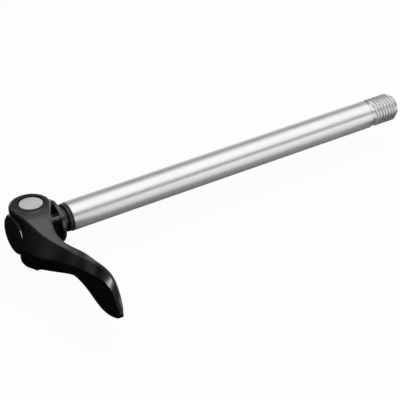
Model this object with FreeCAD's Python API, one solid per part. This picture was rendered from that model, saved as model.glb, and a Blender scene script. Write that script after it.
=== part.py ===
"""Rear thru axle with a cam lever, 12 mm, for a bicycle frame.

Millimetres. The origin is the centre of the face that clamps on the frame. +Y runs along the axle to its
thread, +Z is the lever's pivot axis and +X is the way the closed lever points.
"""
import FreeCAD
import Part
import math
import os

Vector = FreeCAD.Vector
Z_AXIS = Vector(0, 0, 1)
Y_AXIS = Vector(0, 1, 0)

# Axle shaft, measured from the clamp face
shaft_diameter = 12.0
shaft_reach = 166.0
shaft_bore_diameter = 5.0
spigot_diameter = 8.0
spigot_start = 0.4
shoulder_start = 4.0
shoulder_chamfer = 0.3
thread_length = 10.0
relief_width = 2.5
relief_depth = 0.95
nose_length = 2.2
nose_diameter = 10.0
nose_chamfer = 1.0

# Seal ring on the spigot
seal_diameter = 11.5
seal_neck_diameter = 9.5
seal_width = 3.4
seal_collar_width = 1.65
seal_edge = 0.5

# Clamp washer
washer_diameter = 17.6
washer_thickness = 2.4
washer_chamfer = 0.25
bearing_diameter = 14.2
bearing_height = 0.7
bearing_recess_depth = 0.5

# Housing, measured from the pivot axis
pivot_to_face = 11.1
housing_diameter = 17.0
housing_end = 9.1
housing_end_round = 1.8
housing_dome_rise = 0.6
housing_dome_half_way = 0.75
notch_half_width = 6.2
notch_length = 3.8
flat_half_width = 7.15

# Cam shaft and the eye that it pulls
cam_head_diameter = 9.4
cam_head_height = 11.45
cam_diameter = 6.4
cam_throw = 0.8
cam_tail_diameter = 4.6
eye_half_thickness = 3.4
eye_play = 0.25
eye_wall = 1.8
bolt_diameter = 6.0
bolt_engagement = 20.0

# Bushes
bush_wall = 0.85
bush_flange_width = 1.3
bush_flange_thickness = 0.6

# Lever
cheek_inner_height = 8.9
cheek_outer_height = 11.8
cheek_radius = 8.4
cheek_offset = 0.5
counterbore_diameter = 10.6
counterbore_depth = 1.5
fork_depth = 16.6
fork_shoulder = 10.6
fork_waist = 14.0
fork_waist_height = 5.0
cheek_round = 1.6
boss_radius = 6.2
boss_bottom = 16.0
boss_round = 3.2
boss_wall = 2.0
web_length = 7.0
web_height = 10.6
web_round = 1.0
foot_length = 5.7
foot_root_half_width = 4.9
foot_end_half_width = 2.8
foot_round = 0.5
arm_root = 1.2
lever_length = 72.8

# Sections along the arm: share of the way from its root to its tip, heights of the inner top edge, the outer
# top edge and both lower edges, then offsets along Y from the pivot axis of the inner edge, the outer edge
# and the outer ridge, the half width of the flat on that ridge, and the edge radius. At the root the heights
# are drops below the top of the cheek.
root_sections = [
    (0.000, 0.0, 0.02, 0.02, 7.4, -8.78, -10.9, 0.35, 1.6),
    (0.067, 0.0, 0.1, 0.2, 5.6, -8.0, -11.1, 0.35, 1.5),
    (0.150, 1.2, 1.4, 1.4, 2.5, -6.9, -11.1, 0.35, 1.3),
    (0.220, 2.8, 3.2, 3.2, 0.8, -5.6, -10.2, 0.35, 1.1),
]
paddle_sections = [
    (0.290, 7.6, 7.1, 7.3, 0.3, -3.9, -7.8, 0.4, 0.9),
    (0.373, 6.5, 5.7, 6.0, 1.5, -1.3, -4.3, 0.7, 0.7),
    (0.457, 6.4, 5.2, 5.1, 3.4, 0.6, -2.4, 1.6, 0.7),
    (0.554, 7.6, 6.4, 6.2, 3.4, 1.2, -1.3, 2.9, 0.6),
    (0.666, 9.4, 8.3, 7.9, 2.5, 0.9, -1.2, 4.9, 0.5),
    (0.777, 10.5, 9.3, 8.7, 2.1, 0.9, -1.2, 6.8, 0.4),
    (0.861, 9.3, 8.4, 7.8, 1.7, 0.7, -1.1, 6.3, 0.35),
    (0.930, 5.8, 5.2, 4.8, 0.8, -0.3, -1.6, 4.0, 0.3),
    (0.972, 3.0, 2.8, 2.5, -0.1, -1.0, -2.1, 1.8, 0.3),
    (0.990, 1.7, 1.55, 1.5, -0.7, -1.3, -2.2, 0.9, 0.3),
    (0.998, 0.8, 0.75, 0.8, -1.15, -1.5, -2.1, 0.4, 0.2),
    (1.000, 0.4, 0.38, 0.4, -1.35, -1.55, -1.9, 0.15, 0.1),
]

# Fits
running_clearance = 0.04
sliding_clearance = 0.1
swing_clearance = 0.3
seat_clearance = 0.1

# How far a cut runs past the face it opens
cut_margin = 1.0


def turned(points):
    """Solid of revolution about the axle's axis, from (radius, y) corners."""
    corners = [Vector(radius, y, 0) for radius, y in points]
    wire = Part.makePolygon(corners + corners[:1])
    return Part.Face(wire).revolve(Vector(0, 0, 0), Y_AXIS, 360)


def upright(radius, low, high, x=0.0, y=0.0):
    """Cylinder that stands along Z between two heights."""
    return Part.makeCylinder(radius, high - low, Vector(x, y, low), Z_AXIS)


def box_between(low, high):
    """Box from its lowest to its highest corner."""
    size = high - low
    return Part.makeBox(size.x, size.y, size.z, low)


shaft_radius = shaft_diameter / 2
spigot_radius = spigot_diameter / 2
bolt_radius = bolt_diameter / 2
housing_radius = housing_diameter / 2
pivot_y = -pivot_to_face
cam_radius = cam_diameter / 2
cam_head_radius = cam_head_diameter / 2
cam_tail_radius = cam_tail_diameter / 2
arm_sections = [
    (share, cheek_outer_height - inner, cheek_outer_height - outer, cheek_outer_height - lower, *offsets)
    for share, inner, outer, lower, *offsets in root_sections
] + paddle_sections


# Axle shaft: one turned tube, threaded over its last stretch
def make_axle_shaft():
    thread_end = shaft_reach - nose_length
    thread_start = thread_end - thread_length
    relief_start = thread_start - relief_width
    relief_radius = shaft_radius - relief_depth
    nose_radius = nose_diameter / 2
    outline = [
        (shaft_bore_diameter / 2, spigot_start),
        (spigot_radius, spigot_start),
        (spigot_radius, shoulder_start),
        (shaft_radius - shoulder_chamfer, shoulder_start),
        (shaft_radius, shoulder_start + shoulder_chamfer),
        (shaft_radius, relief_start),
        (relief_radius, relief_start + relief_depth),
        (relief_radius, thread_start - relief_depth / 2),
        (shaft_radius, thread_start),
        (shaft_radius, thread_end),
        (nose_radius, thread_end + (shaft_radius - nose_radius) / 2),
        (nose_radius, shaft_reach - nose_chamfer),
        (nose_radius - nose_chamfer, shaft_reach),
        (shaft_bore_diameter / 2, shaft_reach),
    ]
    socket = Part.makeCylinder(bolt_radius, bolt_engagement, Vector(0, spigot_start, 0), Y_AXIS)
    return turned(outline).cut(socket)


# Seal ring: a rubber sleeve with a rounded collar against the shaft's shoulder
def make_seal_ring():
    seal_radius = seal_diameter / 2
    neck_radius = seal_neck_diameter / 2
    collar_start = shoulder_start - seal_collar_width
    ring = turned([
        (spigot_radius, shoulder_start - seal_width),
        (neck_radius, shoulder_start - seal_width),
        (neck_radius, collar_start),
        (seal_radius, collar_start),
        (seal_radius, shoulder_start),
        (spigot_radius, shoulder_start),
    ])
    rim = [edge for edge in ring.Edges if abs(edge.BoundBox.XMax - seal_radius) < 1e-6
           and edge.BoundBox.YLength < 1e-6]
    return ring.makeFillet(seal_edge, rim)


# Clamp washer: a turned flange with a raised ring that bears on the frame round the axle's hole
def make_clamp_washer():
    outer = washer_diameter / 2
    bearing_outer = bearing_diameter / 2
    bearing_inner = shaft_radius + swing_clearance
    bore = bolt_radius + sliding_clearance
    return turned([
        (bore, -washer_thickness),
        (outer - washer_chamfer, -washer_thickness),
        (outer, -washer_thickness + washer_chamfer),
        (outer, -bearing_height - washer_chamfer),
        (outer - washer_chamfer, -bearing_height),
        (bearing_outer, -bearing_height),
        (bearing_outer, 0),
        (bearing_inner, 0),
        (bearing_inner, -bearing_recess_depth),
        (bore, -bearing_recess_depth),
    ])


def bush_radius(bore_radius):
    return bore_radius + running_clearance + bush_wall


bush_top = cheek_inner_height - seat_clearance
pad_height = bush_top - bush_flange_thickness
eye_slot_half_width = cam_radius + cam_throw + eye_play
eye_slot_half_height = cam_radius + eye_play
cavity_half_height = eye_half_thickness + swing_clearance
cavity_half_width = eye_slot_half_width + eye_wall + swing_clearance


# Housing: a turned cup with a domed end, bush pads, spanner flats, and a cavity that the eye slides in
def make_housing():
    end_y = pivot_y - housing_end
    seat_y = -washer_thickness
    flat_radius = housing_radius - housing_end_round
    bend = housing_end_round * (1 - math.sqrt(0.5))
    dome_top = Vector(0, end_y - housing_dome_rise, 0)
    dome_rim = Vector(flat_radius, end_y, 0)
    dome_middle = Vector(flat_radius / 2, end_y - housing_dome_rise * housing_dome_half_way, 0)
    side_start = Vector(housing_radius, end_y + housing_end_round, 0)
    side_end = Vector(housing_radius, seat_y, 0)
    seat_middle = Vector(0, seat_y, 0)
    outline = Part.Wire([
        Part.Arc(dome_top, dome_middle, dome_rim).toShape(),
        Part.Arc(dome_rim, Vector(housing_radius - bend, end_y + bend, 0), side_start).toShape(),
        Part.LineSegment(side_start, side_end).toShape(),
        Part.LineSegment(side_end, seat_middle).toShape(),
        Part.LineSegment(seat_middle, dome_top).toShape(),
    ])
    body = Part.Face(outline).revolve(Vector(0, 0, 0), Y_AXIS, 360)
    for bore_radius, side in ((cam_head_radius, 1), (cam_tail_radius, -1)):
        pad_radius = bush_radius(bore_radius) + bush_flange_width
        heights = sorted((0, side * pad_height))
        body = body.fuse(upright(pad_radius, heights[0], heights[1], y=pivot_y))
        beyond = sorted((side * pad_height, side * housing_diameter))
        body = body.cut(upright(pad_radius, beyond[0], beyond[1], y=pivot_y))
    cavity_end = pivot_y - cam_throw - eye_slot_half_height - eye_wall - swing_clearance
    body = body.cut(box_between(Vector(-cavity_half_width, cavity_end, -cavity_half_height),
                                Vector(cavity_half_width, seat_y + cut_margin, cavity_half_height)))
    notch = box_between(Vector(-notch_half_width, seat_y - notch_length, -housing_diameter),
                        Vector(notch_half_width, seat_y + cut_margin, housing_diameter))
    body = body.cut(notch)
    for side in (1, -1):
        across = sorted((side * flat_half_width, side * housing_diameter))
        body = body.cut(box_between(Vector(across[0], seat_y - notch_length, -housing_diameter),
                                    Vector(across[1], seat_y + cut_margin, housing_diameter)))
    body = body.cut(upright(bush_radius(cam_head_radius), 0, housing_diameter, y=pivot_y))
    body = body.cut(upright(bush_radius(cam_tail_radius), -housing_diameter, 0, y=pivot_y))
    return body.removeSplitter()


# Bushes: flanged sleeves, the flange between the housing and the lever's cheek
def make_bush(bore_radius, side):
    outer = bush_radius(bore_radius)
    sleeve = upright(outer, cavity_half_height, bush_top, y=pivot_y)
    flange = upright(outer + bush_flange_width, pad_height, bush_top, y=pivot_y)
    bush = sleeve.fuse(flange).cut(upright(bore_radius + running_clearance, 0, housing_diameter, y=pivot_y))
    if side < 0:
        bush = bush.mirror(Vector(0, 0, 0), Z_AXIS)
    return bush.removeSplitter()


# Cam shaft: head journal, eccentric and tail journal, each small enough to pass through from above
def make_cam_shaft():
    tail_end = -boss_bottom + boss_wall
    head = upright(cam_head_radius, cavity_half_height, cam_head_height, y=pivot_y)
    cam_bottom = sliding_clearance - cavity_half_height
    cam = upright(cam_radius, cam_bottom, cavity_half_height, y=pivot_y - cam_throw)
    tail = upright(cam_tail_radius, tail_end, cam_bottom, y=pivot_y)
    return head.fuse([cam, tail]).removeSplitter()


# Draw bolt: a slotted eye round the cam, and a shank screwed into the shaft
def make_draw_bolt():
    eye_y = pivot_y - cam_throw
    outer_half_width = eye_slot_half_width + eye_wall
    outer_half_height = eye_slot_half_height + eye_wall
    eye = slotted_block(outer_half_width, outer_half_height, eye_y)
    shank = Part.makeCylinder(bolt_radius, spigot_start + bolt_engagement - eye_y,
                              Vector(0, eye_y, 0), Y_AXIS)
    slot = slotted_block(eye_slot_half_width, eye_slot_half_height, eye_y)
    return eye.fuse(shank).cut(slot).removeSplitter()


def slotted_block(half_width, half_height, y):
    """Upright block with round ends, as long across X as it is told and as wide across Y."""
    reach = half_width - half_height
    low = Vector(-reach, y - half_height, -eye_half_thickness)
    high = Vector(reach, y + half_height, eye_half_thickness)
    ends = [upright(half_height, -eye_half_thickness, eye_half_thickness, x, y) for x in (-reach, reach)]
    return box_between(low, high).fuse(ends).removeSplitter()


# Lever: a lofted arm with a round cheek above, a domed boss below, and room between them for the housing
def rounded_wire(corners, radius):
    """Closed wire through the corners, each of them rounded by an arc."""
    starts, middles, ends = [], [], []
    for index, corner in enumerate(corners):
        back = (corners[index - 1] - corner).normalize()
        ahead = (corners[(index + 1) % len(corners)] - corner).normalize()
        half_angle = back.getAngle(ahead) / 2
        inward = (back + ahead).normalize()
        centre = corner + inward * (radius / math.sin(half_angle))
        starts.append(corner + back * (radius / math.tan(half_angle)))
        middles.append(centre - inward * radius)
        ends.append(corner + ahead * (radius / math.tan(half_angle)))
    edges = []
    for index in range(len(corners)):
        edges.append(Part.LineSegment(ends[index - 1], starts[index]).toShape())
        edges.append(Part.Arc(starts[index], middles[index], ends[index]).toShape())
    return Part.Wire(edges)


def along_arm(share):
    """Distance from the pivot of a place that is given as a share of the arm."""
    return arm_root + share * (lever_length - arm_root)


def arm_wire(share, inner_top, outer_top, bottom, inner, outer, ridge, flat, edge_radius):
    corners = [
        (inner, -bottom), (inner, inner_top), (outer, outer_top),
        (ridge, flat), (ridge, -flat), (outer, -bottom),
    ]
    return rounded_wire([Vector(along_arm(share), pivot_y + y, z) for y, z in corners], edge_radius)


def make_lever():
    arm = Part.makeLoft([arm_wire(*section) for section in arm_sections], True, False, False, 5)
    below_head = box_between(Vector(-boss_bottom, pivot_y - boss_bottom, -boss_bottom),
                             Vector(web_length, pivot_y + boss_bottom, 0))
    cheek = upright(cheek_radius, 0, cheek_outer_height, y=pivot_y - cheek_offset)
    cheek_rim = [edge for edge in cheek.Edges if edge.BoundBox.ZMin > cheek_outer_height - 1e-6]
    cheek = cheek.makeFillet(cheek_round, cheek_rim)
    boss = upright(boss_radius, -boss_bottom, 0, y=pivot_y)
    boss_rim = [edge for edge in boss.Edges if edge.BoundBox.ZMax < -boss_bottom + 1e-6]
    boss = boss.makeFillet(boss_round, boss_rim)
    tail_end = -boss_bottom + boss_wall
    head_seat = cheek_outer_height - counterbore_depth
    hollows = [
        make_swing_room(),
        upright(cam_head_radius, 0, cheek_outer_height + cut_margin, y=pivot_y),
        upright(counterbore_diameter / 2, head_seat, cheek_outer_height + cut_margin, y=pivot_y),
        upright(cam_tail_radius, tail_end, 0, y=pivot_y),
    ]
    solids = [arm.cut(below_head), cheek, boss, make_lower_web(), make_foot()]
    for hollow in hollows:
        solids = [solid.cut(hollow) for solid in solids]
    return solids[0].fuse(solids[1:]).removeSplitter()


def make_lower_web():
    """Plate that carries the boss from the root of the arm, as wide as the arm where it meets it."""
    share, _, _, _, inner, outer, _, _, _ = root_sections[2]
    far_end = along_arm(share)
    corners = [Vector(0, pivot_y + boss_radius, -web_height), Vector(far_end, pivot_y + inner, -web_height),
               Vector(far_end, pivot_y + outer, -web_height), Vector(0, pivot_y - boss_radius, -web_height)]
    plate = Part.Face(Part.makePolygon(corners + corners[:1])).extrude(Vector(0, 0, web_height))
    lower_sides = [edge for edge in plate.Edges if edge.BoundBox.ZMax < -web_height + 1e-6
                   and edge.BoundBox.XLength > web_length]
    return plate.makeFillet(web_round, lower_sides)


def make_foot():
    """Tapered tongue under the web, level with the bottom of the boss."""
    corners = [Vector(0, pivot_y + foot_root_half_width, -boss_bottom),
               Vector(foot_length, pivot_y + foot_end_half_width, -boss_bottom),
               Vector(foot_length, pivot_y - foot_end_half_width, -boss_bottom),
               Vector(0, pivot_y - foot_root_half_width, -boss_bottom)]
    tongue = Part.Face(Part.makePolygon(corners + corners[:1])).extrude(Vector(0, 0, boss_bottom))
    lower_edges = [edge for edge in tongue.Edges if edge.BoundBox.ZMax < -boss_bottom + 1e-6
                   and edge.BoundBox.XMax > foot_length / 2]
    return tongue.makeFillet(foot_round, lower_edges)


def make_swing_room():
    """Room for the housing to turn in: a barrel about the pivot, between the cheek and the boss."""
    edge = Vector(fork_shoulder, 0, cheek_inner_height)
    waist = Vector(fork_waist, 0, fork_waist_height)
    barrel = Part.Arc(edge, waist, Vector(fork_depth, 0, 0)).toShape()
    axis_top = Vector(0, 0, cheek_inner_height)
    floor = Vector(0, 0, 0)
    outline = Part.Wire([
        Part.LineSegment(floor, axis_top).toShape(),
        Part.LineSegment(axis_top, edge).toShape(),
        barrel,
        Part.LineSegment(Vector(fork_depth, 0, 0), floor).toShape(),
    ])
    upper = Part.Face(outline).revolve(Vector(0, 0, 0), Z_AXIS, 360)
    lower = upper.mirror(Vector(0, 0, 0), Z_AXIS)
    room = upper.fuse(lower).removeSplitter()
    room.translate(Vector(0, pivot_y, 0))
    return room


pieces = {
    "axle_shaft": make_axle_shaft(),
    "seal_ring": make_seal_ring(),
    "clamp_washer": make_clamp_washer(),
    "housing": make_housing(),
    "upper_bush": make_bush(cam_head_radius, 1),
    "lower_bush": make_bush(cam_tail_radius, -1),
    "cam_shaft": make_cam_shaft(),
    "draw_bolt": make_draw_bolt(),
    "lever": make_lever(),
}

os.makedirs("parts", exist_ok=True)
for name, shape in pieces.items():
    box = shape.BoundBox
    print(name, shape.ShapeType, "solids", len(shape.Solids), "valid", shape.isValid(),
          "volume %.1f" % shape.Volume, "x %.1f..%.1f" % (box.XMin, box.XMax),
          "y %.1f..%.1f" % (box.YMin, box.YMax), "z %.1f..%.1f" % (box.ZMin, box.ZMax))
    shape.exportStep("parts/" + name + ".step")
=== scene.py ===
import math

import bmesh
import bpy
from mathutils import Matrix, Vector


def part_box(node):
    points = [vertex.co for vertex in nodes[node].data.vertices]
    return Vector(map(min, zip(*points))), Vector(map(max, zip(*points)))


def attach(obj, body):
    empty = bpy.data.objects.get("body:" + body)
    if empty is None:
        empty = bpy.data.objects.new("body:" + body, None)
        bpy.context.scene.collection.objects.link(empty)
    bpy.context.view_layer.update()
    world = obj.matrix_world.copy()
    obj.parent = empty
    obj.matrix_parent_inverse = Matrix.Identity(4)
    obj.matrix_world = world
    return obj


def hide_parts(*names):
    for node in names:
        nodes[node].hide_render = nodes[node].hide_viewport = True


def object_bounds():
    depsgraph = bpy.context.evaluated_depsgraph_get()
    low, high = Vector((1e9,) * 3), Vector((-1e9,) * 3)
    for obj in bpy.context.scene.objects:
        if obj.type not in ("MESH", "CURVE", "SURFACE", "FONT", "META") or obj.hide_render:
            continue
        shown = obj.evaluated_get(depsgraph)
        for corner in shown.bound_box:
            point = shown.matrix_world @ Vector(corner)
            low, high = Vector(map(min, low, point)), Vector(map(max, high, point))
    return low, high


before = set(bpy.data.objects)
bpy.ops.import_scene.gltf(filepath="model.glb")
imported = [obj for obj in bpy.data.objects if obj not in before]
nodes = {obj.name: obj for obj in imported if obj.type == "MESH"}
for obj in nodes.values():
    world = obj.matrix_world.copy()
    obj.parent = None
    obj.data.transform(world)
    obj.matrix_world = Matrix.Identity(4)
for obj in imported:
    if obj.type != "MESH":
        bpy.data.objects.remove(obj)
cad_low, cad_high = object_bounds()


# Axle shaft: a 12 mm aluminium tube, turned to size and left in bare satin metal.
# A spigot at the head end takes the seal. The far end has a relief groove, a thread and a short nose.
# It is screwed on to the draw bolt, so it slides with the bolt when the lever swings.
def new_material(name):
    """Material with a Principled BSDF; returns the material, its node tree and that shader."""
    material = bpy.data.materials.new(name)
    material.use_nodes = True
    tree = material.node_tree
    return material, tree, tree.nodes["Principled BSDF"]


def add_node(tree, kind, **settings):
    """Node of that kind; lower-case settings are its properties, capitalised ones its unlinked inputs."""
    node = tree.nodes.new(kind)
    for key, value in settings.items():
        if key[0].islower():
            setattr(node, key, value)
        else:
            node.inputs[key.replace("_", " ")].default_value = value
    return node


def feed(tree, socket, value):
    """Sets a socket to a number, or links another socket to it."""
    if isinstance(value, (int, float)):
        socket.default_value = value
    else:
        tree.links.new(value, socket)


def math_node(tree, operation, *operands):
    """Math node whose operands are numbers or sockets; returns its output."""
    node = add_node(tree, "ShaderNodeMath", operation=operation)
    for socket, operand in zip(node.inputs, operands):
        feed(tree, socket, operand)
    return node.outputs[0]


def off_axis(tree, across, upward):
    """Distance of a place from an axis, from its two offsets; returns the output."""
    squares = [math_node(tree, "MULTIPLY", offset, offset) for offset in (across, upward)]
    return math_node(tree, "SQRT", math_node(tree, "ADD", *squares))


def ramp(tree, source, low, high, low_out=0.0, high_out=1.0):
    """Straight ramp from one range of values to another, held at its ends; returns its output."""
    node = add_node(tree, "ShaderNodeMapRange",
                    From_Min=low, From_Max=high, To_Min=low_out, To_Max=high_out)
    tree.links.new(source, node.inputs["Value"])
    return node.outputs["Result"]


def new_group(name, inputs, outputs):
    """Shader node group with float inputs of given defaults; returns it with its input and output nodes."""
    group = bpy.data.node_groups.new(name, "ShaderNodeTree")
    for label, value in inputs.items():
        socket = group.interface.new_socket(label, in_out="INPUT", socket_type="NodeSocketFloat")
        socket.default_value = value
    for label in outputs:
        group.interface.new_socket(label, in_out="OUTPUT", socket_type="NodeSocketFloat")
    return group, group.nodes.new("NodeGroupInput"), group.nodes.new("NodeGroupOutput")


def place_group(tree, group, **values):
    """Places a group in a material with values of its own, as numbers or sockets; returns its node."""
    node = add_node(tree, "ShaderNodeGroup", node_tree=group)
    for key, value in values.items():
        feed(tree, node.inputs[key.replace("_", " ")], value)
    return node


# Tool marks: fine rings left by a turning tool, along whatever distance is fed in
tool_marks, marks_in, marks_out = new_group(
    "tool_marks", {"Distance": 0.0, "Lines per metre": 4000.0}, ("Height", "Shade"))
along = math_node(tool_marks, "MULTIPLY", marks_in.outputs["Distance"], marks_in.outputs["Lines per metre"])
fine = add_node(tool_marks, "ShaderNodeTexNoise",
                noise_dimensions="1D", Scale=1.0, Detail=2.0, Roughness=0.6)
tool_marks.links.new(along, fine.inputs["W"])
broad = add_node(tool_marks, "ShaderNodeTexNoise", noise_dimensions="1D", Scale=0.07, Detail=1.0)
tool_marks.links.new(along, broad.inputs["W"])
tool_marks.links.new(fine.outputs["Fac"], marks_out.inputs["Height"])
fine_share = 0.6
shade = math_node(tool_marks, "MULTIPLY", fine.outputs["Fac"], fine_share)
shade = math_node(tool_marks, "MULTIPLY_ADD", broad.outputs["Fac"], 1 - fine_share, shade)
tool_marks.links.new(shade, marks_out.inputs["Shade"])

# Handling: cloudy patches of finger grease and fine dust, in how a surface shines
handling, handling_in, handling_out = new_group(
    "handling", {"Patch scale": 90.0, "Speck scale": 2500.0}, ("Patches", "Specks"))
object_place = add_node(handling, "ShaderNodeTexCoord").outputs["Object"]
patches = add_node(handling, "ShaderNodeTexNoise", Detail=4.0, Roughness=0.55)
handling.links.new(object_place, patches.inputs["Vector"])
handling.links.new(handling_in.outputs["Patch scale"], patches.inputs["Scale"])
patch_mask = ramp(handling, patches.outputs["Fac"], low=0.35, high=0.65)
handling.links.new(patch_mask, handling_out.inputs["Patches"])
specks = add_node(handling, "ShaderNodeTexNoise", Detail=1.0)
handling.links.new(object_place, specks.inputs["Vector"])
handling.links.new(handling_in.outputs["Speck scale"], specks.inputs["Scale"])
speck_mask = ramp(handling, specks.outputs["Fac"], low=0.3, high=0.7)
handling.links.new(speck_mask, handling_out.inputs["Specks"])


def finish_surface(tree, shader, colours, roughness, colour_mask, shine_mask, height, bump_depth):
    """Links a mix of two colours, a range of roughness and a bump, each by its mask, to the shader."""
    mix = add_node(tree, "ShaderNodeMix", data_type="RGBA")
    mask_in, _, _, _, _, _, first_colour, second_colour, *_ = mix.inputs
    first_colour.default_value = (*colours[0], 1)
    second_colour.default_value = (*colours[1], 1)
    tree.links.new(colour_mask, mask_in)
    colour_out = mix.outputs[2]
    tree.links.new(colour_out, shader.inputs["Base Color"])
    smoothest, roughest = roughness
    tree.links.new(ramp(tree, shine_mask, 0.0, 1.0, smoothest, roughest), shader.inputs["Roughness"])
    bump = add_node(tree, "ShaderNodeBump", Strength=1.0, Distance=bump_depth)
    tree.links.new(height, bump.inputs["Height"])
    tree.links.new(bump.outputs["Normal"], shader.inputs["Normal"])


def place_on_object(tree):
    """Object coordinates; returns x, y and the distance from the axle's axis."""
    split = add_node(tree, "ShaderNodeSeparateXYZ")
    tree.links.new(add_node(tree, "ShaderNodeTexCoord").outputs["Object"], split.inputs[0])
    x, y, z = split.outputs
    return x, y, off_axis(tree, x, z)


turned_aluminium, tree, shader = new_material("turned_aluminium")
shader.inputs["Metallic"].default_value = 1.0
_, y, _ = place_on_object(tree)
marks = place_group(tree, tool_marks, Distance=y, Lines_per_metre=5500.0)
touch = place_group(tree, handling, Patch_scale=60.0)
touch_share = 0.35
shine = math_node(tree, "MULTIPLY", marks.outputs["Shade"], 1 - touch_share)
shine = math_node(tree, "MULTIPLY_ADD", touch.outputs["Patches"], touch_share, shine)
finish_surface(tree, shader, colours=((0.67, 0.673, 0.68), (0.74, 0.743, 0.75)), roughness=(0.3, 0.42),
               colour_mask=marks.outputs["Shade"], shine_mask=shine,
               height=marks.outputs["Height"], bump_depth=0.000004)

# The shaft's outline, as places along the axle and radii, in metres
shaft_low, shaft_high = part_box("axle_shaft")
spigot_end = shaft_low.y
spigot_radius = 0.0040
spigot_chamfer = 0.0002
socket_depth = 0.0200
socket_end = spigot_end + socket_depth
socket_radius = 0.0030
bore_radius = 0.0025
bore_chamfer = 0.0005
tube_start = 0.0040
tube_radius = 0.0060
groove_start = 0.1513
groove_depth = 0.00095
thread_start = 0.1533
crest_start = 0.1538
thread_end = 0.1638
nose_radius = 0.0050
nose_chamfer = 0.0010
shaft_end = shaft_high.y

# The tube's rounded edge, as steps along the tube and in from its surface
tube_edge = ((0.0, 0.0004), (0.00007, 0.00022), (0.0002, 0.00007), (0.0004, 0.0))
edge_end = tube_start + tube_edge[-1][0]

# A ring near each end of the tube keeps the shading of the long faces between them even
ring_gap = 0.0002

shaft_profile = [
    (spigot_end, socket_radius),
    (spigot_end, spigot_radius - spigot_chamfer),
    (spigot_end + spigot_chamfer, spigot_radius),
    (tube_start, spigot_radius),
    *[(tube_start + forward, tube_radius - inward) for forward, inward in tube_edge],
    (edge_end + ring_gap, tube_radius),
    (groove_start - ring_gap, tube_radius),
    (groove_start, tube_radius),
    (groove_start + groove_depth, tube_radius - groove_depth),
    (crest_start - groove_depth / 2, tube_radius - groove_depth),
    (crest_start, tube_radius),
]
row_step = 0.000075
row = crest_start + row_step
while row < thread_end:
    shaft_profile.append((row, tube_radius))
    row += row_step
shaft_profile += [
    (thread_end + (tube_radius - nose_radius) / 2, nose_radius),
    (shaft_end - nose_chamfer, nose_radius),
    (shaft_end - nose_chamfer / 2, nose_radius - nose_chamfer / 4),
    (shaft_end, nose_radius - nose_chamfer),
    (shaft_end, bore_radius + bore_chamfer),
    (shaft_end - bore_chamfer, bore_radius),
    (socket_end, bore_radius),
    (socket_end, socket_radius),
]


def lathe_mesh(name, profile, segments):
    """Closed mesh of revolution about the axle's axis, from (y, radius) corners."""
    bm = bmesh.new()
    rings = []
    for y, radius in profile:
        ring = []
        for step in range(segments):
            angle = 2 * math.pi * step / segments
            ring.append(bm.verts.new((radius * math.sin(angle), y, radius * math.cos(angle))))
        rings.append(ring)
    for index, ring in enumerate(rings):
        following = rings[(index + 1) % len(rings)]
        for step in range(segments):
            after = (step + 1) % segments
            bm.faces.new((ring[step], ring[after], following[after], following[step]))
    bmesh.ops.recalc_face_normals(bm, faces=bm.faces)
    mesh = bpy.data.meshes.new(name)
    bm.to_mesh(mesh)
    bm.free()
    return mesh


shaft = bpy.data.objects.new("threaded_shaft", lathe_mesh("threaded_shaft", shaft_profile, segments=144))
bpy.context.scene.collection.objects.link(shaft)

# Thread cutter: takes away what lies outside a helical thread, past a given place along the shaft.
# A flank runs between two places that are shares of the pitch, counted from the middle of the crest.
cutter = bpy.data.node_groups.new("thread_cutter", "GeometryNodeTree")
cutter.interface.new_socket("Geometry", in_out="INPUT", socket_type="NodeSocketGeometry")
cutter_sizes = {"Start": thread_start, "Pitch": 0.0015, "Crest radius": tube_radius, "Depth": 0.00088,
                "Flank from": 0.08, "Flank to": 0.42}
for label in cutter_sizes:
    cutter.interface.new_socket(label, in_out="INPUT", socket_type="NodeSocketFloat")
cutter.interface.new_socket("Metal", in_out="INPUT", socket_type="NodeSocketMaterial")
cutter.interface.new_socket("Geometry", in_out="OUTPUT", socket_type="NodeSocketGeometry")
cut_in = cutter.nodes.new("NodeGroupInput")
cut_out = cutter.nodes.new("NodeGroupOutput")
place = add_node(cutter, "ShaderNodeSeparateXYZ")
cutter.links.new(add_node(cutter, "GeometryNodeInputPosition").outputs[0], place.inputs[0])
x, y, z = place.outputs
radius = off_axis(cutter, x, z)
turn = math_node(cutter, "DIVIDE", math_node(cutter, "ARCTAN2", x, z), 2 * math.pi)
past = math_node(cutter, "SUBTRACT", y, cut_in.outputs["Start"])
rise = math_node(cutter, "DIVIDE", past, cut_in.outputs["Pitch"])
phase = math_node(cutter, "FRACT", math_node(cutter, "SUBTRACT", rise, turn))
from_crest = math_node(cutter, "ABSOLUTE", math_node(cutter, "SUBTRACT", phase, 0.5))
flank = add_node(cutter, "ShaderNodeMapRange", interpolation_type="SMOOTHSTEP")
cutter.links.new(from_crest, flank.inputs["Value"])
cutter.links.new(cut_in.outputs["Flank from"], flank.inputs["From Min"])
cutter.links.new(cut_in.outputs["Flank to"], flank.inputs["From Max"])
groove = math_node(cutter, "MULTIPLY", flank.outputs["Result"], cut_in.outputs["Depth"])
thread_radius = math_node(cutter, "SUBTRACT", cut_in.outputs["Crest radius"], groove)
trimmed = math_node(cutter, "DIVIDE", math_node(cutter, "MINIMUM", radius, thread_radius), radius)
shrunk = add_node(cutter, "ShaderNodeCombineXYZ")
cutter.links.new(math_node(cutter, "MULTIPLY", x, trimmed), shrunk.inputs[0])
cutter.links.new(y, shrunk.inputs[1])
cutter.links.new(math_node(cutter, "MULTIPLY", z, trimmed), shrunk.inputs[2])
press = add_node(cutter, "GeometryNodeSetPosition")
cutter.links.new(cut_in.outputs["Geometry"], press.inputs["Geometry"])
past_start = math_node(cutter, "GREATER_THAN", y, cut_in.outputs["Start"])
cutter.links.new(past_start, press.inputs["Selection"])
cutter.links.new(shrunk.outputs[0], press.inputs["Position"])
whole = add_node(cutter, "GeometryNodeRealizeInstances")
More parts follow.
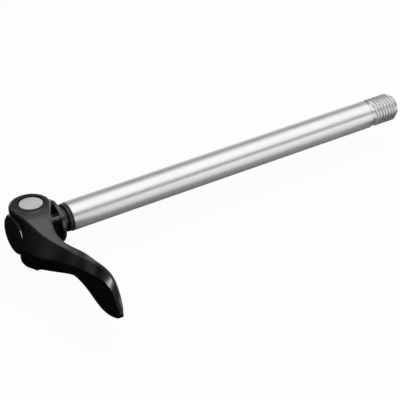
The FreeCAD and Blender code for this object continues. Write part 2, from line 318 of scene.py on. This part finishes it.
cutter.links.new(press.outputs[0], whole.inputs[0])
metal = add_node(cutter, "GeometryNodeSetMaterial")
cutter.links.new(whole.outputs[0], metal.inputs["Geometry"])
cutter.links.new(cut_in.outputs["Metal"], metal.inputs["Material"])
cutter.links.new(metal.outputs[0], cut_out.inputs[0])


def grow(piece, tree, values):
    """Runs a geometry tree on the piece with its named inputs, and keeps the result as its plain mesh."""
    modifier = piece.modifiers.new(tree.name, "NODES")
    modifier.node_group = tree
    for item in tree.interface.items_tree:
        if item.item_type == "SOCKET" and item.in_out == "INPUT" and item.name in values:
            modifier[item.identifier] = values[item.name]
    depsgraph = bpy.context.evaluated_depsgraph_get()
    grown = bpy.data.meshes.new_from_object(piece.evaluated_get(depsgraph))
    piece.modifiers.clear()
    piece.data = grown


def soften(mesh, sharp_angle):
    """Smooth shading, with edges sharper than the angle in degrees left crisp."""
    bm = bmesh.new()
    bm.from_mesh(mesh)
    for face in bm.faces:
        face.smooth = True
    for edge in bm.edges:
        edge.smooth = edge.calc_face_angle(0.0) < math.radians(sharp_angle)
    bm.to_mesh(mesh)
    bm.free()


grow(shaft, cutter, {**cutter_sizes, "Metal": turned_aluminium})
soften(shaft.data, sharp_angle=40)
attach(shaft, "axle")
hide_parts("axle_shaft")


# Draw bolt: the steel eye bolt inside the head, which joins the shaft to the cam.
# Its eye is milled with a slot for the cam, and its shank is screwed into the shaft.
def dress(node_name, material):
    """Gives a CAD node its finished material."""
    materials = nodes[node_name].data.materials
    materials.clear()
    materials.append(material)


bolt_steel, tree, shader = new_material("bolt_steel")
shader.inputs["Metallic"].default_value = 1.0
_, y, _ = place_on_object(tree)
marks = place_group(tree, tool_marks, Distance=y, Lines_per_metre=3000.0)
touch = place_group(tree, handling, Patch_scale=200.0)
finish_surface(tree, shader, colours=((0.42, 0.42, 0.44), (0.56, 0.56, 0.57)), roughness=(0.25, 0.42),
               colour_mask=touch.outputs["Patches"], shine_mask=marks.outputs["Shade"],
               height=marks.outputs["Height"], bump_depth=0.00001)
dress("draw_bolt", bolt_steel)


# Seal ring: a short sleeve of black rubber with a rounded collar, pushed over the shaft's spigot.
# It keeps grit out of the joint between the shaft and the clamp washer, and slides with the shaft.
rubber, tree, shader = new_material("seal_rubber")
shader.inputs["Specular IOR Level"].default_value = 0.5
touch = place_group(tree, handling, Patch_scale=300.0, Speck_scale=4000.0)
finish_surface(tree, shader, colours=((0.010, 0.010, 0.010), (0.020, 0.020, 0.020)), roughness=(0.2, 0.34),
               colour_mask=touch.outputs["Patches"], shine_mask=touch.outputs["Specks"],
               height=touch.outputs["Specks"], bump_depth=0.00002)
dress("seal_ring", rubber)


# Clamp washer: a turned steel flange, blackened, with a raised ring round its middle.
# That ring is what bears on the frame, and the flange sits on the end of the housing.
washer_black, tree, shader = new_material("washer_black")
shader.inputs["IOR"].default_value = 1.7
_, y, radius = place_on_object(tree)
marks = place_group(tree, tool_marks, Distance=math_node(tree, "ADD", y, radius), Lines_per_metre=7000.0)
touch = place_group(tree, handling, Patch_scale=150.0)
finish_surface(tree, shader, colours=((0.010, 0.010, 0.011), (0.022, 0.022, 0.024)), roughness=(0.14, 0.24),
               colour_mask=marks.outputs["Shade"], shine_mask=touch.outputs["Patches"],
               height=marks.outputs["Height"], bump_depth=0.000012)
dress("clamp_washer", washer_black)


# Housing: a turned aluminium cup with a domed end, polished and anodised black.
# It holds the two bushes and guides the eye of the draw bolt, and the lever's fork turns round it.
housing_black, tree, shader = new_material("housing_black")
shader.inputs["IOR"].default_value = 1.76
_, y, radius = place_on_object(tree)
marks = place_group(tree, tool_marks, Distance=math_node(tree, "ADD", y, radius), Lines_per_metre=9000.0)
touch = place_group(tree, handling, Patch_scale=120.0)
finish_surface(tree, shader, colours=((0.003, 0.003, 0.0035), (0.005, 0.005, 0.006)), roughness=(0.12, 0.2),
               colour_mask=touch.outputs["Patches"], shine_mask=touch.outputs["Patches"],
               height=marks.outputs["Height"], bump_depth=0.000004)
dress("housing", housing_black)


# Bushes: two flanged bronze sleeves pressed into the housing, one above the eye and one below.
# The cam shaft turns in them, and their flanges keep the lever's cheek and boss off the housing.
bronze, tree, shader = new_material("bush_bronze")
shader.inputs["Metallic"].default_value = 1.0
touch = place_group(tree, handling, Patch_scale=400.0, Speck_scale=6000.0)
finish_surface(tree, shader, colours=((0.32, 0.19, 0.08), (0.47, 0.31, 0.15)), roughness=(0.3, 0.5),
               colour_mask=touch.outputs["Patches"], shine_mask=touch.outputs["Specks"],
               height=touch.outputs["Specks"], bump_depth=0.000008)
dress("upper_bush", bronze)
dress("lower_bush", bronze)


# Cam shaft: a hardened steel pin with an eccentric middle, pressed into the lever.
# Its faced upper end shows as the bright disc in the lever's cheek.
cam_steel, tree, shader = new_material("cam_steel")
shader.inputs["Metallic"].default_value = 1.0
x, y, _ = place_on_object(tree)
pivot_y = -0.0111
from_pivot = off_axis(tree, x, math_node(tree, "SUBTRACT", y, pivot_y))
marks = place_group(tree, tool_marks, Distance=from_pivot, Lines_per_metre=8000.0)
touch = place_group(tree, handling, Patch_scale=180.0)
finish_surface(tree, shader, colours=((0.8, 0.8, 0.805), (0.87, 0.87, 0.875)), roughness=(0.5, 0.6),
               colour_mask=marks.outputs["Shade"], shine_mask=touch.outputs["Patches"],
               height=marks.outputs["Height"], bump_depth=0.000002)
dress("cam_shaft", cam_steel)


# Lever: one aluminium forging, tumbled smooth and anodised satin black.
# The cheek above and the boss below carry the cam shaft,
# and the waisted arm ends in the paddle that a thumb lifts.
lever_black, tree, shader = new_material("lever_black")
shader.inputs["IOR"].default_value = 1.76
touch = place_group(tree, handling, Patch_scale=70.0, Speck_scale=3200.0)
finish_surface(tree, shader, colours=((0.0012, 0.0012, 0.0015), (0.0025, 0.0025, 0.003)),
               roughness=(0.17, 0.25), colour_mask=touch.outputs["Patches"],
               shine_mask=touch.outputs["Patches"], height=touch.outputs["Specks"], bump_depth=0.0000004)
dress("lever", lever_black)


# Floor, light and camera: the axle lies on a plain white sweep, under large soft lights.
# The camera stands where the photograph was taken from.
def seen_directly(tree):
    """1 for rays that show the background: from the camera, off gloss or through glass."""
    path = add_node(tree, "ShaderNodeLightPath")
    seen = math_node(tree, "MAXIMUM", path.outputs["Is Camera Ray"], path.outputs["Is Glossy Ray"])
    return math_node(tree, "MAXIMUM", seen, path.outputs["Is Transmission Ray"])


floor_white, tree, shader = new_material("floor_white")
shader.inputs["Base Color"].default_value = (0.85, 0.85, 0.85, 1)
shader.inputs["Roughness"].default_value = 0.9
shader.inputs["Specular IOR Level"].default_value = 0.0
glow = add_node(tree, "ShaderNodeEmission", Strength=1.0)
glow_share = 0.95
blend = add_node(tree, "ShaderNodeMixShader")
tree.links.new(math_node(tree, "MULTIPLY", seen_directly(tree), glow_share), blend.inputs[0])
tree.links.new(shader.outputs[0], blend.inputs[1])
tree.links.new(glow.outputs[0], blend.inputs[2])
tree.links.new(blend.outputs[0], tree.nodes["Material Output"].inputs["Surface"])


def stage_sheet(name, corners, material):
    """Flat sheet of the studio, which is no part of the axle; returns its object."""
    mesh = bpy.data.meshes.new(name)
    mesh.from_pydata(corners, [], [(0, 1, 2, 3)])
    mesh.materials.append(material)
    sheet = bpy.data.objects.new(name, mesh)
    bpy.context.scene.collection.objects.link(sheet)
    return sheet


def lying(x_range, y_range, level):
    """Corners of a sheet that lies flat at a level, anticlockwise from above."""
    (left, right), (near, far) = x_range, y_range
    return [(left, near, level), (right, near, level), (right, far, level), (left, far, level)]


def standing(foot, low_edge, high_edge):
    """Corners of a sheet that stands upright on a foot line between two places (x, y)."""
    return [(x, y, low_edge) for x, y in foot] + [(x, y, high_edge) for x, y in reversed(foot)]


floor_level = cad_low.z
floor_reach = (-6.0, 6.0)
stage_sheet("floor", lying(floor_reach, floor_reach, floor_level), floor_white)
sweep_foot = ((-1.82, -0.31), (-0.115, 2.52))
stage_sheet("sweep_back", standing(sweep_foot, floor_level, high_edge=0.46), floor_white)

world = bpy.data.worlds.new("studio")
bpy.context.scene.world = world
world.use_nodes = True
background = world.node_tree.nodes["Background"]
background.inputs["Color"].default_value = (1, 1, 1, 1)
background.inputs["Strength"].default_value = 0.2


def painted_shade_card(name, corners, shade):
    """Sheet of painted shade that only reflections see: it paints dark reflections, the dark edges of dark
    metal and of bright metal.
    """
    finish, _, surface = new_material(name)
    surface.inputs["Base Color"].default_value = (shade, shade, shade, 1)
    surface.inputs["Roughness"].default_value = 1.0
    surface.inputs["Specular IOR Level"].default_value = 0.0
    card = stage_sheet(name, corners, finish)
    card.visible_camera = False
    card.visible_diffuse = False
    card.visible_shadow = False


# The painted-shade cards on the floor meet edge to edge, just clear of it
card_level = floor_level + 0.0001
card_reach = -0.4
head_edge = 0.010
thread_edge = 0.160
nose_edge = 0.200
notch_edge = 0.022
shaft_edge = 0.028
lever_edge = 0.10
# Painted shade seen only in reflections. Under the lever it darkens the lever's and head's lower faces, and
# by the notch the pocket. Under the shaft it stands in for the shaded floor on the tube's lower edge, and
# under the thread it darkens the thread's lower side.
under_lever = lying((card_reach, lever_edge), (card_reach, head_edge), card_level)
painted_shade_card("card_under_lever", under_lever, shade=0.012)
by_notch = lying((shaft_edge, lever_edge), (head_edge, notch_edge), card_level)
painted_shade_card("card_by_notch", by_notch, shade=0.004)
under_shaft = lying((card_reach, shaft_edge), (head_edge, thread_edge), card_level)
painted_shade_card("card_under_shaft", under_shaft, shade=0.42)
under_thread = lying((card_reach, shaft_edge), (thread_edge, nose_edge), card_level)
painted_shade_card("card_under_thread", under_thread, shade=0.08)
# A standing sheet of painted shade in front, seen only in reflections: it paints the dark reflections on the
# front faces of the lever and the thread
front_foot = ((-0.9, card_reach), (0.06, card_reach))
painted_shade_card("card_in_front", standing(front_foot, floor_level, high_edge=0.19), shade=0.08)


def softbox(name, place, target, size, radiance, beam=180.0):
    """Rectangular lamp set by how bright its face looks, with the width of its beam in degrees."""
    light = bpy.data.lights.new(name, "AREA")
    light.shape = "RECTANGLE"
    light.size, light.size_y = size
    light.energy = radiance * math.pi * size[0] * size[1]
    light.spread = math.radians(beam)
    lamp = bpy.data.objects.new(name, light)
    lamp.location = place
    lamp.rotation_euler = (Vector(target) - Vector(place)).to_track_quat("-Z", "Y").to_euler()
    lamp.visible_camera = False
    bpy.context.scene.collection.objects.link(lamp)


softbox("overhead", place=(0.27, 0.45, 0.72), target=(0.27, 0.45, 0.0), size=(1.14, 1.3), radiance=1.25)
softbox("overhead_edge", place=(0.02, 0.45, 0.72), target=(0.02, 0.45, 0.0), size=(1.65, 1.3), radiance=0.35)
softbox("thread_front", place=(-0.047, 0.058, 0.047), target=(0.0, 0.159, 0.0), size=(0.08, 0.08),
        radiance=0.16, beam=60.0)
softbox("right_side", place=(0.72, 0.55, 0.1), target=(0.02, 0.05, 0.0), size=(0.6, 0.21), radiance=1.6)
softbox("front_left", place=(0.0151, -0.0788, 0.0429), target=(0.063, -0.0116, 0.007), size=(0.017, 0.017),
        radiance=0.055, beam=12.0)
softbox("left_fill", place=(-0.81, -0.38, 0.8), target=(0.06, -0.01, 0.0), size=(0.6, 0.6), radiance=0.3)
softbox("front_right", place=(0.27, -0.53, 0.13), target=(0.0, -0.02, 0.0), size=(0.06, 0.28), radiance=18.0)

camera_data = bpy.data.cameras.new("camera")
camera_data.sensor_width = 36.0
camera_data.lens = 152.0
camera_data.clip_end = 20.0
camera = bpy.data.objects.new("camera", camera_data)

# The camera's own directions and its place, solved from the edges of the tube and of the disc
right = Vector((0.5333, 0.845, -0.0387))
up = Vector((-0.4093, 0.2978, 0.8624))
ahead = Vector((-0.7403, 0.4441, -0.5047))
camera_place = Vector((0.5213, -0.2470, 0.3418))
stand = Matrix((right, up, -ahead)).transposed().to_4x4()
stand.translation = camera_place
camera.matrix_world = stand
bpy.context.scene.collection.objects.link(camera)
bpy.context.scene.camera = camera
bpy.context.scene.view_settings.view_transform = "Standard"
